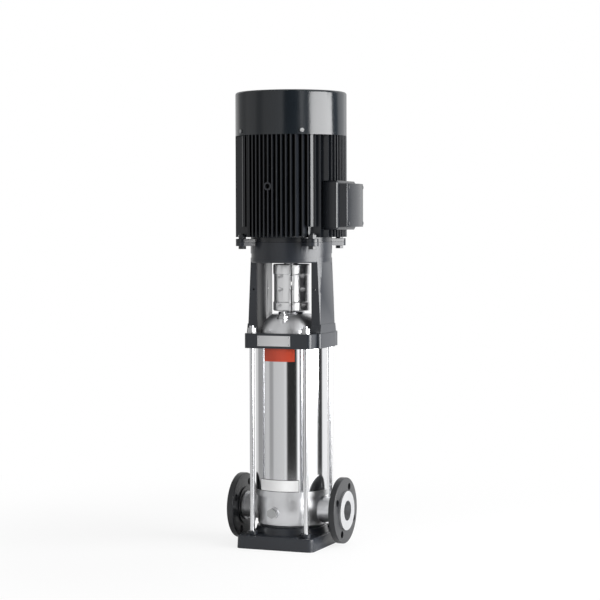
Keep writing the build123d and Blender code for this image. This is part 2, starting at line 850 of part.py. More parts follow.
# ---- coupling ----
def coupling_body():
    """The whole clamp coupling before it is split."""
    body = turned(
        (0, coupling_bottom), (coupling_collar_radius - coupling_chamfer, coupling_bottom),
        (coupling_collar_radius, coupling_bottom + coupling_chamfer),
        (coupling_collar_radius, coupling_collar_bottom),
        (coupling_radius, coupling_collar_bottom + coupling_chamfer),
        (coupling_radius, coupling_collar_top - coupling_chamfer),
        (coupling_collar_radius, coupling_collar_top),
        (coupling_collar_radius, coupling_top - coupling_chamfer),
        (coupling_collar_radius - coupling_chamfer, coupling_top), (0, coupling_top))
    body -= disc(seal_shaft_radius + press_gap, coupling_bottom, pump_shaft_top)
    body -= disc(coupling_core_radius, pump_shaft_top, motor_shaft_bottom)
    body -= disc(drive_shaft_radius + press_gap, motor_shaft_bottom, coupling_top)
    return body


def coupling_half(side):
    """One half of the coupling with its screw pockets."""
    height = coupling_top - coupling_bottom
    centre = (coupling_split / 2 + coupling_collar_radius / 2) * side
    block = Pos(centre, 0, coupling_bottom + height / 2) * Box(
        coupling_collar_radius, 3 * coupling_collar_radius, height)
    groove_side = 2 * coupling_groove_depth
    groove = Pos(0, coupling_radius, coupling_bottom + height / 2) * Box(
        coupling_groove, groove_side, 2 * height)
    grooves = groove + Rot(0, 0, 180) * groove
    body = coupling_body() & (Rot(0, 0, coupling_turn) * block)
    body -= Rot(0, 0, coupling_turn) * grooves
    for level in coupling_screw_levels:
        for edge in (-1, 1):
            foot = split_toward * (edge * coupling_screw_offset) + Vector(
                0, 0, coupling_bottom + level)
            start = foot + split_normal * (side * coupling_pocket_floor)
            body -= rod(coupling_pocket_radius, start, split_normal * side,
                        coupling_collar_radius)
            body -= rod(coupling_screw_radius + thread_gap, foot, split_normal * side,
                        coupling_pocket_floor)
    return body


def coupling_screws():
    """Clamp screws across the split, heads on alternate sides."""
    screws = []
    for level in coupling_screw_levels:
        for edge in (-1, 1):
            foot = split_toward * (edge * coupling_screw_offset) + Vector(
                0, 0, coupling_bottom + level)
            head_start = foot + split_normal * (edge * coupling_pocket_floor)
            tail = coupling_pocket_floor * 2 + coupling_screw_end
            screw = rod(coupling_head_radius, head_start, split_normal * edge,
                        coupling_head_height)
            screw += rod(coupling_screw_radius, head_start, split_normal * -edge, tail)
            socket = head_start + split_normal * (
                edge * (coupling_head_height - coupling_socket_depth))
            screw -= hex_bar(coupling_socket_flats, socket, split_normal * edge,
                             coupling_socket_depth)
            nut_start = foot - split_normal * (edge * coupling_pocket_floor)
            nut = hex_bar(coupling_nut_flats, nut_start, split_normal * -edge,
                          coupling_nut_height)
            screws.append(screw + nut)
    return Compound(children=screws)


# ---- motor housing ----
def drive_end_shield():
    """Flange end of the motor: spigots, lugs and the drive bearing's housing."""
    housing = drive_bearing_outer + press_gap
    web_top = frame_bottom
    bearing_top = drive_bearing_z + drive_bearing_width
    spigot_bottom = stool_top - stool_recess_depth
    body = turned(
        (drive_shaft_radius + 3, spigot_bottom), (stool_recess_radius - slip_gap, spigot_bottom),
        (stool_recess_radius - slip_gap, stool_top), (shield_radius, stool_top),
        (shield_radius, web_top), (frame_bore_radius - slip_gap, web_top),
        (frame_bore_radius - slip_gap, web_top + shield_spigot),
        (frame_bore_radius - slip_gap - 8, web_top + shield_spigot),
        (frame_bore_radius - slip_gap - 8, web_top - 4), (housing + housing_wall, web_top - 4),
        (housing + housing_wall, bearing_top), (housing, bearing_top),
        (housing, drive_bearing_z), (drive_shaft_radius + 3, drive_bearing_z))
    for lug in lugs(stool_top, lug_thick, shield_radius - 5):
        body += lug
    for hole in lug_holes(stool_top, stool_top + lug_thick):
        body -= hole
    return body


def fin_groups():
    """Parallel cooling fins in four groups, cut to a round envelope."""
    slabs = []
    offsets = [(k + 0.5) * fin_pitch for k in range(-fins_per_side // 2, fins_per_side // 2)]
    for place in offsets:
        reach = sqrt(frame_radius ** 2 - place ** 2)
        edge = abs(place) > (fins_per_side / 2 - 2) * fin_pitch
        reach = sqrt(fin_corner_reach ** 2 - place ** 2) if edge else reach
        start = max(abs(place), frame_core_radius - 35)
        slabs.append((place, start, reach))
    outline = Sketch()
    for quarter in range(4):
        for place, start, reach in slabs:
            fin = Pos((start + reach) / 2, place) * Rectangle(reach - start, fin_thick)
            outline += Rot(0, 0, 90 * quarter) * fin
        rib = Pos((frame_core_radius + fin_corner_reach) / 2 - 4, 0) * Rectangle(
            fin_corner_reach - frame_core_radius + 8, corner_rib_thick)
        outline += Rot(0, 0, 45 + 90 * quarter) * rib
    return outline


def motor_frame():
    """Finned housing with its eye boss and the pad for the terminal box."""
    outline = fin_groups() + Circle(frame_core_radius)
    height = frame_top - frame_bottom
    body = Pos(0, 0, frame_bottom) * extrude(outline, height)
    clear_y = box_half_y + box_pad_gap
    clear_z = box_height / 2 + box_pad_gap
    clear_x = 2 * frame_radius
    clear = Pos(frame_core_radius + clear_x / 2, 0, box_mid_z) * Box(
        clear_x, 2 * clear_y, 2 * clear_z)
    body -= clear
    pad = box_block(0, box_pad_x, box_pad_step, box_corner)
    body += pad - disc(frame_bore_radius, frame_bottom, frame_top)
    eye_root = frame_bore_radius + eye_boss_radius
    body += rod(eye_boss_radius, (eye_boss_x, -eye_root, eye_boss_z), (0, -1, 0),
                frame_radius + eye_boss_reach - eye_root)
    body -= disc(frame_bore_radius, frame_bottom, frame_top)
    body -= rod(cable_way_radius, (0, 0, box_mid_z), (1, 0, 0), box_pad_x)
    eye_start = (eye_boss_x, -frame_radius - eye_boss_reach, eye_boss_z)
    body -= rod(eye_thread_radius, eye_start, (0, 1, 0), eye_hole_depth)
    for r, a in lug_places:
        body -= Pos(*polar(r, a)) * disc(
            bolt_relief_radius, frame_bottom, frame_bottom + bolt_relief_height)
    return body


def fan_end_shield():
    """Upper end shield with the fan bearing's housing and four ears for the cover."""
    housing = fan_bearing_outer + press_gap
    bearing_top = fan_bearing_z + fan_bearing_width
    web_bottom = frame_top
    web_top = frame_top + fan_end_web
    body = turned(
        (fan_bearing_bore + 3, bearing_top), (housing, bearing_top), (housing, fan_bearing_z),
        (housing + housing_wall, fan_bearing_z), (housing + housing_wall, web_bottom),
        (frame_bore_radius - slip_gap - 8, web_bottom),
        (frame_bore_radius - slip_gap - 8, web_bottom - shield_spigot),
        (frame_bore_radius - slip_gap, web_bottom - shield_spigot),
        (frame_bore_radius - slip_gap, web_bottom), (frame_core_radius, web_bottom),
        (frame_core_radius, web_top), (housing + housing_wall, web_top),
        (housing + housing_wall - 3, bearing_top + 4), (fan_bearing_bore + 3, bearing_top + 4))
    ear_end = cover_radius - cover_wall - slip_gap
    ear_bottom = cover_screw_z - ear_height / 2
    for angle in cover_screw_angles:
        start = frame_core_radius - 12
        ear = Pos((start + ear_end) / 2, 0, cover_screw_z) * Box(
            ear_end - start, ear_width, ear_height)
        ear &= disc(ear_end, ear_bottom, ear_bottom + ear_height)
        ear -= rod(cover_screw_radius + thread_gap, (ear_end - 14, 0, cover_screw_z), (1, 0, 0), 20)
        body += Rot(0, 0, angle) * ear
    return body


# ---- bearings ----
def bearing_sizes():
    """Outer radius, bore radius, width and lower face of both ball bearings."""
    return (
        (drive_bearing_outer, drive_bearing_bore, drive_bearing_width, drive_bearing_z),
        (fan_bearing_outer, fan_bearing_bore, fan_bearing_width, fan_bearing_z))


def bearing_outer_rings():
    """Outer rings in the housings of the end shields."""
    rings = []
    for outer, bore, width, z in bearing_sizes():
        wall = (outer - bore) * bearing_ring_share
        rings.append(ring(outer, outer - wall, z, z + width))
    return Compound(children=rings)


def bearing_inner_rings():
    """Inner rings on the motor shaft."""
    rings = []
    for outer, bore, width, z in bearing_sizes():
        wall = (outer - bore) * bearing_ring_share
        rings.append(ring(bore + wall, bore + press_gap, z, z + width))
    return Compound(children=rings)


def bearing_balls():
    """Balls between the rings."""
    balls = []
    for outer, bore, width, z in bearing_sizes():
        wall = (outer - bore) * bearing_ring_share
        radius = (outer - bore - 2 * wall) / 2 - face_gap
        centre = (outer + bore) / 2
        for k in range(ball_count):
            balls.append(Pos(*polar(centre, 360 / ball_count * k), z + width / 2) * Sphere(radius))
    return Compound(children=balls)


# ---- stator and rotor ----
def slot_outline(gap):
    """Slots of the stator core, or coil sides when a gap is taken off."""
    length = slot_root_radius - slot_mouth_radius
    middle = (slot_root_radius + slot_mouth_radius) / 2
    slot = Pos(middle, 0) * Rectangle(length - 2 * gap, slot_width - 2 * gap)
    return [Rot(0, 0, 360 / slot_count * k) * slot for k in range(slot_count)]


def stator_core():
    """Laminated core with closed slots."""
    outline = Circle(stator_radius) - Circle(stator_bore_radius)
    outline -= slot_outline(0)
    return Pos(0, 0, stator_bottom) * extrude(outline, stator_length)


def stator_windings():
    """Coil sides in the slots, joined by the end turns above and below the core."""
    sides = Sketch() + slot_outline(coil_gap)
    body = Pos(0, 0, stator_bottom - 1) * extrude(sides, stator_length + 2)
    outer = slot_root_radius + 2
    inner = slot_mouth_radius - 1
    for bottom in (stator_bottom - coil_overhang, stator_top):
        body += ring(outer, inner, bottom, bottom + coil_overhang)
    return body


def rotor_core():
    """Squirrel-cage core with its end rings."""
    body = ring(rotor_radius, core_shaft_radius + press_gap, stator_bottom, stator_top)
    for bottom in (stator_bottom - end_ring_height, stator_top):
        body += ring(rotor_radius - end_ring_drop, core_shaft_radius + 14, bottom,
                     bottom + end_ring_height)
    return body


def motor_shaft():
    """Stepped motor shaft from the coupling up to the fan."""
    bearing_top = drive_bearing_z + drive_bearing_width
    fan_bearing_top = fan_bearing_z + fan_bearing_width
    body = disc(drive_shaft_radius, motor_shaft_bottom, drive_bearing_z - 4)
    body += disc(drive_bearing_bore, drive_bearing_z - 4, bearing_top)
    body += disc(core_shaft_radius, bearing_top, fan_bearing_z)
    body += disc(fan_bearing_bore, fan_bearing_z, fan_bearing_top)
    body += disc(fan_shaft_radius, fan_bearing_top, motor_shaft_top)
    return body


# ---- fan ----
def fan():
    """Radial cooling fan on the upper end of the shaft."""
    body = ring(fan_hub_radius, fan_shaft_radius + press_gap, fan_z, fan_z + fan_hub_height)
    body += ring(fan_disc_radius, fan_hub_radius - 2, fan_z, fan_z + fan_disc_thick)
    length = fan_radius - fan_hub_radius + 2
    blade = Pos(fan_hub_radius - 2 + length / 2, 0, fan_z + fan_blade_height / 2) * Box(
        length, fan_blade_thick, fan_blade_height)
    tip = Plane.XZ.offset(fan_blade_thick) * make_face(Polyline(
        (fan_disc_radius, fan_z - 1), (fan_radius + 1, fan_z - 1), (fan_radius + 1, fan_z + fan_blade_tip),
        close=True))
    blade -= extrude(tip, -2 * fan_blade_thick)
    for copy in around(fan_blade_count, blade):
        body += copy
    return body


def fan_cover():
    """Round cowl with a rolled upper edge and a grille of ring slots."""
    inner = cover_radius - cover_wall
    outer_solid = disc(cover_radius, frame_top, cover_top)
    outer_solid = fillet(outer_solid.edges().sort_by(Axis.Z)[-1], cover_round)
    hollow = disc(inner, frame_top, cover_top - cover_wall)
    hollow = fillet(hollow.edges().sort_by(Axis.Z)[-1], cover_round - cover_wall)
    body = outer_solid - hollow
    slots = Sketch()
    for k in range(grille_rings):
        start = grille_inner + k * (grille_slot + grille_bar)
        slots += Circle(start + grille_slot) - Circle(start)
    webs = Sketch()
    for k in range(grille_webs // 2):
        bar = Rectangle(2 * cover_radius, grille_web_width)
        webs += Rot(0, 0, 360 / grille_webs * k) * bar
    body -= Pos(0, 0, cover_top - 2 * cover_wall) * extrude(slots - webs, 3 * cover_wall)
    for angle in cover_screw_angles:
        direction = (*polar(1, angle), 0)
        start = (*polar(inner - 5, angle), cover_screw_z)
        body -= rod(cover_screw_radius + slip_gap, start, direction, 15)
    return body


def fan_cover_screws():
    """Four radial screws that hold the cowl on the end shield's ears."""
    screws = []
    for angle in cover_screw_angles:
        direction = Vector(*polar(1, angle), 0)
        seat = Vector(*polar(cover_radius, angle), cover_screw_z)
        screw = rod(cover_screw_radius, seat - direction * 12, direction, 12.5)
        screw += rod(cover_head_radius, seat, direction, cover_head_height)
        screws.append(screw)
    return Compound(children=screws)


# ---- terminal box ----
def box_corners():
    """Places of the cover screws in Y and Z."""
    half_y = box_half_y - box_screw_inset
    half_z = box_height / 2 - box_screw_inset
    return [(sy * half_y, box_mid_z + sz * half_z) for sy in (-1, 1) for sz in (-1, 1)]


def box_block(start_x, end_x, inset, corner):
    """A rounded block of the terminal box's outline along X."""
    outline = RectangleRounded(2 * (box_half_y - inset), box_height - 2 * inset, corner)
    place = Plane(origin=(start_x, 0, box_mid_z), x_dir=(0, 1, 0), z_dir=(1, 0, 0))
    return extrude(place * outline, end_x - start_x)


def terminal_box():
    """Open box on the frame's pad, with screw posts in its corners and a cable hole."""
    body = box_block(box_pad_x, box_seam_x, 0, box_corner)
    body -= box_block(box_pad_x + box_wall, box_seam_x, box_wall, box_corner - 3)
    for y, z in box_corners():
        start = (box_pad_x + box_wall - 1, y, z)
        body += rod(box_post_radius, start, (1, 0, 0), box_seam_x - box_pad_x - box_wall + 1)
        body -= rod(box_screw_radius + thread_gap, (box_seam_x - 16, y, z), (1, 0, 0), 20)
    body -= rod(cable_way_radius, (box_pad_x, 0, box_mid_z), (1, 0, 0), box_wall)
    gland_x = (box_pad_x + box_wall + box_seam_x) / 2
    start = (gland_x, box_half_y - box_wall - 2, box_mid_z)
    body -= rod(gland_hole_radius + thread_gap, start, (0, 1, 0), box_wall + 10)
    return body


def terminal_box_cover():
    """Deep cover with rounded outer edges."""
    body = box_block(box_seam_x, box_cover_x, 0, box_corner)
    body = fillet(body.faces().sort_by(Axis.X)[-1].edges(), box_cover_edge)
    body -= box_block(box_seam_x, box_cover_x - box_wall, box_wall, box_corner - 3)
    for y, z in box_corners():
        body += rod(box_post_radius, (box_seam_x, y, z), (1, 0, 0),
                    box_cover_x - box_seam_x - 2)
        body -= rod(box_screw_radius + slip_gap, (box_seam_x, y, z), (1, 0, 0),
                    box_cover_depth)
        body -= rod(box_screw_head_radius + slip_gap, (box_cover_x - box_screw_head, y, z),
                    (1, 0, 0), 10)
    return body


def terminal_cover_screws():
    """Screws through the cover's corner posts into the box."""
    screws = []
    for y, z in box_corners():
        seat = (box_cover_x - box_screw_head, y, z)
        length = box_cover_depth - box_screw_head + box_screw_grip
        screw = rod(box_screw_head_radius, seat, (1, 0, 0), box_screw_head)
        screws.append(screw + rod(box_screw_radius, seat, (-1, 0, 0), length))
    return Compound(children=screws)


def terminal_block():
    """Insulating block with two rows of three studs."""
    x = box_pad_x + box_wall
    below = box_mid_z - cable_way_radius - block_z / 2 - 3
    body = Pos(x + block_depth / 2, 0, below) * Box(block_depth, block_y, block_z)
    for column in (-1, 0, 1):
        for row in (-1, 1):
            start = (x + block_depth - 1, column * stud_pitch, below + row * block_z / 4)
            body += rod(stud_radius, start, (1, 0, 0), stud_height)
    return body


def cable_gland():
    """Cable gland in the far side of the terminal box."""
    gland_x = (box_pad_x + box_wall + box_seam_x) / 2
    seat = (gland_x, box_half_y, box_mid_z)
    collar_end = (gland_x, box_half_y + gland_collar, box_mid_z)
    body = hex_bar(gland_hex, seat, (0, 1, 0), gland_collar)
    nut = rod(gland_nut_radius, collar_end, (0, 1, 0), gland_nut_length)
    nut = fillet(nut.edges().sort_by(Axis.Y)[-1], gland_edge)
    body += nut
    body += rod(gland_hole_radius, seat, (0, -1, 0), gland_tail)
    return body - rod(gland_bore_radius, (gland_x, 0, box_mid_z), (0, 1, 0), 2 * box_half_y)


# ---- motor flange bolts ----
def flange_bolts():
    """Bolts up through the lugs of stool and motor."""
    bolts = []
    bottom = stool_top - lug_thick
    top = stool_top + lug_thick + flange_nut_height + flange_bolt_tip
    for r, a in lug_places:
        bolt = disc(rod_radius, bottom, top)
        bolt += hex_bar(flange_nut_flats, (0, 0, bottom), (0, 0, -1), flange_bolt_head)
        bolts.append(Pos(*polar(r, a)) * bolt)
    return Compound(children=bolts)


def flange_nuts():
    """Plain nuts on the bolts of the motor flange."""
    seat = stool_top + lug_thick
    nut = hex_bar(flange_nut_flats, (0, 0, seat), (0, 0, 1), flange_nut_height)
    nut -= disc(rod_radius + press_gap, seat, seat + flange_nut_height)
    return Compound(children=[Pos(*polar(r, a)) * nut for r, a in lug_places])


# ---- export ----
nodes = {
    "base_plate": base_plate(),
    "base_chamber": base_chamber(),
    "port_lock_rings": port_lock_rings(),
    "suction_flange": loose_flange(1),
    "discharge_flange": loose_flange(-1),
    "drain_plug": drain_plug(),
    "outer_sleeve": outer_sleeve(),
    "o_rings": o_rings(),
    "inlet_guide": inlet_guide(),
    "shaft_bushes": shaft_bushes(),
    "pump_shaft": pump_shaft(),
    "shaft_nut": shaft_nut(),
    "pump_head": pump_head(),
    "vent_plug": vent_plug(),
    "vent_screw": vent_screw(),
    "seal_cover": seal_cover(),
    "seal_seat": seal_seat(),
    "seal_ring": seal_ring(),
    "staybolts": staybolts(),
    "collar_nuts": collar_nuts(),
    "motor_stool": motor_stool(),
    "coupling_half_left": coupling_half(-1),
    "coupling_half_right": coupling_half(1),
    "coupling_screws": coupling_screws(),
    "drive_end_shield": drive_end_shield(),
    "motor_frame": motor_frame(),
    "fan_end_shield": fan_end_shield(),
    "bearing_outer_rings": bearing_outer_rings(),
    "bearing_inner_rings": bearing_inner_rings(),
    "bearing_balls": bearing_balls(),
    "stator_core": stator_core(),
    "stator_windings": stator_windings(),
    "rotor_core": rotor_core(),
    "motor_shaft": motor_shaft(),
    "fan": fan(),
    "fan_cover": fan_cover(),
    "fan_cover_screws": fan_cover_screws(),
    "terminal_box": terminal_box(),
    "terminal_box_cover": terminal_box_cover(),
    "terminal_cover_screws": terminal_cover_screws(),
    "terminal_block": terminal_block(),
    "cable_gland": cable_gland(),
    "flange_bolts": flange_bolts(),
    "flange_nuts": flange_nuts(),
}
for stage in range(stage_count):
    nodes[f"stage_chamber_{stage + 1}"] = stage_chamber(stage)
    nodes[f"impeller_{stage + 1}"] = impeller(stage)

for name, shape in nodes.items():
    export_step(shape, f"parts/{name}.step")
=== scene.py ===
import bmesh
import bpy
import json
from math import atan2, cos, pi, radians, sin
from mathutils import Matrix, Vector

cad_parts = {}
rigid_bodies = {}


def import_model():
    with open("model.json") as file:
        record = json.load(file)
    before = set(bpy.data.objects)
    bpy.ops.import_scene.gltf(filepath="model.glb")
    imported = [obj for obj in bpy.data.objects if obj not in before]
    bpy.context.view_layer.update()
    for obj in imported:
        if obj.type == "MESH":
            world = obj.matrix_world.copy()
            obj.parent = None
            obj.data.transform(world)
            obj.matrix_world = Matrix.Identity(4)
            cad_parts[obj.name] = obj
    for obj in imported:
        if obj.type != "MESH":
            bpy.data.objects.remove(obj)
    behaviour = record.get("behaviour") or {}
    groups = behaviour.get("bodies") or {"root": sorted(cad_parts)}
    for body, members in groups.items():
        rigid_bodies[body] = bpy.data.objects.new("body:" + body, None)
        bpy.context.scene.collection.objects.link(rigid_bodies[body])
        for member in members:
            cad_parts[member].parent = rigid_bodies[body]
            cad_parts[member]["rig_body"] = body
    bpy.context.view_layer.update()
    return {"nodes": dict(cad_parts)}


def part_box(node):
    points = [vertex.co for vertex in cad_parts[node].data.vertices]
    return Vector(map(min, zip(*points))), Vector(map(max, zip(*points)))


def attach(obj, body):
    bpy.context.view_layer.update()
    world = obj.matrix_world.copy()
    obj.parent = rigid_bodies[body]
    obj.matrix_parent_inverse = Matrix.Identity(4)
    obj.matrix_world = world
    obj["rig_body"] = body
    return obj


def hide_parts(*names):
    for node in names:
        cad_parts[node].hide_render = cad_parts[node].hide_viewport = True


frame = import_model()


# ---- Studio ----
# The pump stands on a plain pale floor in a white studio. The camera looks at its front
# corner from chest height with a long lens, so upright edges stay nearly parallel.

view_turn = radians(21.95)
view_drop = radians(2.36)
view_roll = radians(-0.15)
view_distance = 4.761
aim = Vector((0.0198, 0.0080, 0.6151))
film_width = 36
lens_length = 113.4
farthest_seen = 50

to_camera = Vector((sin(view_turn) * cos(view_drop), -cos(view_turn) * cos(view_drop), sin(view_drop)))
to_right = Vector((cos(view_turn), sin(view_turn), 0))
to_top = to_camera.cross(to_right)
level_to_camera = Vector((to_camera.x, to_camera.y, 0)).normalized()
roll = Matrix.Rotation(view_roll, 4, "Z")
camera_data = bpy.data.cameras.new("studio_camera")
camera_data.sensor_width = film_width
camera_data.lens = lens_length
camera_data.clip_end = farthest_seen
camera = bpy.data.objects.new("studio_camera", camera_data)
stand = Matrix((to_right, to_top, to_camera)).transposed().to_4x4()
camera.matrix_world = Matrix.Translation(aim + to_camera * view_distance) @ stand @ roll
bpy.context.scene.collection.objects.link(camera)
bpy.context.scene.camera = camera
bpy.context.scene.view_settings.view_transform = "Standard"


class Wire:
    """An output socket of a shader tree. Arithmetic on it adds Math nodes."""

    def __init__(self, tree, socket):
        self.tree = tree
        self.socket = socket

    def math(self, operation, first, second):
        return self.tree.node("ShaderNodeMath", {"operation": operation}, {0: first, 1: second})

    def __add__(self, other):
        return self.math("ADD", self, other)

    def __radd__(self, other):
        return self.math("ADD", other, self)

    def __mul__(self, other):
        return self.math("MULTIPLY", self, other)

    def __rmul__(self, other):
        return self.math("MULTIPLY", other, self)

    def __truediv__(self, other):
        return self.math("DIVIDE", self, other)

    def __rtruediv__(self, other):
        return self.math("DIVIDE", other, self)


class Shading:
    """A node tree with one method for any node."""

    def __init__(self, tree):
        self.tree = tree
        tree.nodes.clear()

    def node(self, kind, settings=None, values=None, output=0):
        node = self.tree.nodes.new(kind)
        for name, setting in (settings or {}).items():
            if name == "stops":
                ramp = node.color_ramp
                while len(ramp.elements) < len(setting):
                    ramp.elements.new(0.5)
                for element, (place, colour) in zip(ramp.elements, setting):
                    element.position = place
                    element.color = (*colour, 1)
            else:
                setattr(node, name, setting)
        for name, value in (values or {}).items():
            if isinstance(value, Wire):
                self.tree.links.new(value.socket, node.inputs[name])
            else:
                node.inputs[name].default_value = value
        return Wire(self, node.outputs[output]) if len(node.outputs) else node


# The walls' brightness by bearing in degrees: 0 lies behind the camera and 90 to its right.
# Dark screens between bright ones give polished steel its upright bands.
screens = [(-180, 0.75), (-140, 0.80), (-132, 0.40), (-110, 0.40), (-103, 0.66), (-79, 0.72),
           (-73, 0.42), (-64, 0.42), (-58, 0.70), (-26, 0.76), (-18, 0.95), (-13.5, 0.03),
           (14.5, 0.03), (20, 1.4), (26, 1.4), (30, 0.12), (43, 0.12), (50, 1.4), (87, 1.4),
           (93.5, 0.035), (111, 0.035), (117, 1.15), (150, 1.15), (162, 0.65), (180, 0.75)]
brightest = max(level for turn, level in screens)
stops = [((turn + 180) / 360, (level / brightest,) * 3) for turn, level in screens]

world = bpy.data.worlds.new("white_studio")
bpy.context.scene.world = world
world.use_nodes = True
studio = Shading(world.node_tree)
sight = studio.node("ShaderNodeTexCoord", output="Generated")
sideways = studio.node("ShaderNodeVectorMath", {"operation": "DOT_PRODUCT"}, {0: sight, 1: to_right},
                       "Value")
forward = studio.node("ShaderNodeVectorMath", {"operation": "DOT_PRODUCT"},
                      {0: sight, 1: level_to_camera}, "Value")
bearing = studio.node("ShaderNodeMath", {"operation": "ARCTAN2"}, {0: sideways, 1: forward})
wall = studio.node("ShaderNodeValToRGB", {"stops": stops}, {0: bearing / (2 * pi) + 0.5})
camera_ray = studio.node("ShaderNodeLightPath", output="Is Camera Ray")
lit_wall = studio.node("ShaderNodeBackground", {}, {"Color": wall, "Strength": brightest})
white_wall = studio.node("ShaderNodeBackground", {}, {"Color": (1, 1, 1, 1), "Strength": 1.0})
room = studio.node("ShaderNodeMixShader", {}, {0: camera_ray, 1: lit_wall, 2: white_wall})
studio.node("ShaderNodeOutputWorld", {}, {"Surface": room})


def blank_material(name):
    """A new material and its empty node tree."""
    material = bpy.data.materials.new(name)
    material.use_nodes = True
    return material, Shading(material.node_tree)


# The floor keeps the pump's shadow near it, and fades to the white of the walls farther out.
floor_radius = 30
fade_start = 0.5
fade_end = 1.6
shadow_share = 0.18

floor_shape = bmesh.new()
bmesh.ops.create_circle(floor_shape, cap_ends=True, segments=96, radius=floor_radius)
floor_mesh = bpy.data.meshes.new("studio_floor")
floor_shape.to_mesh(floor_mesh)
floor_shape.free()
floor = bpy.data.objects.new("studio_floor", floor_mesh)
bpy.context.scene.collection.objects.link(floor)
floor_paint, ground = blank_material("pale_floor")
floor_ray = ground.node("ShaderNodeLightPath", output="Is Camera Ray")
floor_place = ground.node("ShaderNodeTexCoord", output="Object")
from_pump = ground.node("ShaderNodeVectorMath", {"operation": "LENGTH"}, {0: floor_place}, "Value")
far = ground.node("ShaderNodeMapRange", {"interpolation_type": "SMOOTHSTEP"}, {
    "Value": from_pump, "From Min": fade_start, "From Max": fade_end})
matt = ground.node("ShaderNodeBsdfDiffuse", {}, {"Color": (0.8, 0.8, 0.8, 1)})
glow = ground.node("ShaderNodeEmission", {}, {"Color": (1, 1, 1, 1), "Strength": 1.0})
gone = ground.node("ShaderNodeBsdfTransparent")
near = ground.node("ShaderNodeMixShader", {}, {
    0: floor_ray * (1 - shadow_share + far * shadow_share), 1: matt, 2: glow})
beyond = ground.node("ShaderNodeMixShader", {}, {0: floor_ray, 1: gone, 2: glow})
seen = ground.node("ShaderNodeMixShader", {}, {0: far, 1: near, 2: beyond})
ground.node("ShaderNodeOutputMaterial", {}, {"Surface": seen})
floor_mesh.materials.append(floor_paint)


pump_middle = Vector((0, 0, 0.6))


def softbox(name, turn, height, distance, width, tall, power):
    """An area lamp at a bearing from the camera's line, facing the pump's middle."""
    lamp_data = bpy.data.lights.new(name, "AREA")
    lamp_data.shape = "RECTANGLE"
    lamp_data.size = width
    lamp_data.size_y = tall
    lamp_data.energy = power
    lamp = bpy.data.objects.new(name, lamp_data)
    place = (level_to_camera * cos(radians(turn)) + to_right * sin(radians(turn))) * distance
    place.z = height
    lamp.location = place
    lamp.rotation_euler = (pump_middle - place).to_track_quat("-Z", "Z").to_euler()
    bpy.context.scene.collection.objects.link(lamp)


softbox("key_softbox", turn=66, height=0.9, distance=2.6, width=1.6, tall=2.6, power=135)


# ---- Base plate ----
# A grey-iron casting that carries the whole pump. Its sides are drafted, its corners hold the
# staybolts and the anchor holes, and it is dipped in dark blue-grey paint.

def shade(colour, factor):
    """A colour made darker or lighter."""
    return tuple(min(1, part * factor) for part in colour)


def blend(shading, mask, first, second):
    """A colour that a mask takes from the first to the second."""
    return shading.node("ShaderNodeMix", {"data_type": "RGBA"}, {
        0: mask, 6: (*first, 1), 7: (*second, 1)}, 2)


def painted_iron(name, colour, rough, grain=0.00035):
    """Satin paint over cast iron: fine orange peel, shallow casting swells, tone drift."""
    material, paint = blank_material(name)
    place = paint.node("ShaderNodeTexCoord", output="Object")
    peel = paint.node("ShaderNodeTexNoise", {}, {"Vector": place, "Scale": 900.0, "Detail": 3.0})
    swell = paint.node("ShaderNodeTexNoise", {}, {"Vector": place, "Scale": 55.0, "Detail": 4.0})
    drift = paint.node("ShaderNodeTexNoise", {}, {"Vector": place, "Scale": 7.0, "Detail": 3.0})
    dents = paint.node("ShaderNodeBump", {}, {"Strength": 0.25, "Distance": 0.0006, "Height": swell})
    skin = paint.node("ShaderNodeBump", {}, {"Strength": 0.18, "Distance": grain, "Height": peel,
                                             "Normal": dents})
    surface = paint.node("ShaderNodeBsdfPrincipled", {}, {
        "Base Color": blend(paint, drift, shade(colour, 0.82), shade(colour, 1.22)),
        "Roughness": rough - 0.06 + drift * 0.12, "Normal": skin, "Specular IOR Level": 0.5})
    paint.node("ShaderNodeOutputMaterial", {}, {"Surface": surface})
    return material


def placed(name, shape, mesh, material, body, sharp):
    """Write a bmesh into a mesh, smooth but for edges past an angle, and put it on its body."""
    shape.to_mesh(mesh)
    shape.free()
    for face in mesh.polygons:
        face.use_smooth = True
    mesh.set_sharp_from_angle(angle=radians(sharp))
    mesh.materials.append(material)
    piece = bpy.data.objects.new(name, mesh)
    bpy.context.scene.collection.objects.link(piece)
    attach(piece, body)
    return piece


weld_gap = 2e-6
flat_angle = radians(0.3)


def finished(node, material, rounding, segments=2, sharp=32, shift=(0, 0, 0)):
    """A welded copy of a node, with smooth curves and softly rounded edges, in its place."""
    mesh = frame["nodes"][node].data.copy()
    mesh.materials.clear()
    shape = bmesh.new()
    shape.from_mesh(mesh)
    bmesh.ops.remove_doubles(shape, verts=shape.verts, dist=weld_gap)
    bmesh.ops.dissolve_limit(shape, angle_limit=flat_angle, verts=shape.verts, edges=shape.edges,
                             use_dissolve_boundaries=False)
    bmesh.ops.translate(shape, verts=shape.verts, vec=shift)
    piece = placed(node + "_finished", shape, mesh, material, frame["nodes"][node]["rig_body"], sharp)
    if rounding:
        edge = piece.modifiers.new("edge", "BEVEL")
        edge.width = rounding
        edge.segments = segments
        edge.limit_method = "ANGLE"
        edge.angle_limit = radians(sharp)
        edge.harden_normals = True
        edge.miter_outer = "MITER_ARC"
    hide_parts(node)


iron_paint = painted_iron("dark_iron_paint", (0.0175, 0.0205, 0.0265), rough=0.30)
finished("base_plate", iron_paint, rounding=0.0015, segments=3)


# ---- Base chamber and flanges ----
# The chamber is cast stainless steel, bead blasted, with a raised face at the end of each stub
# pipe. The loose iron flanges are painted like the base and held by split rings.

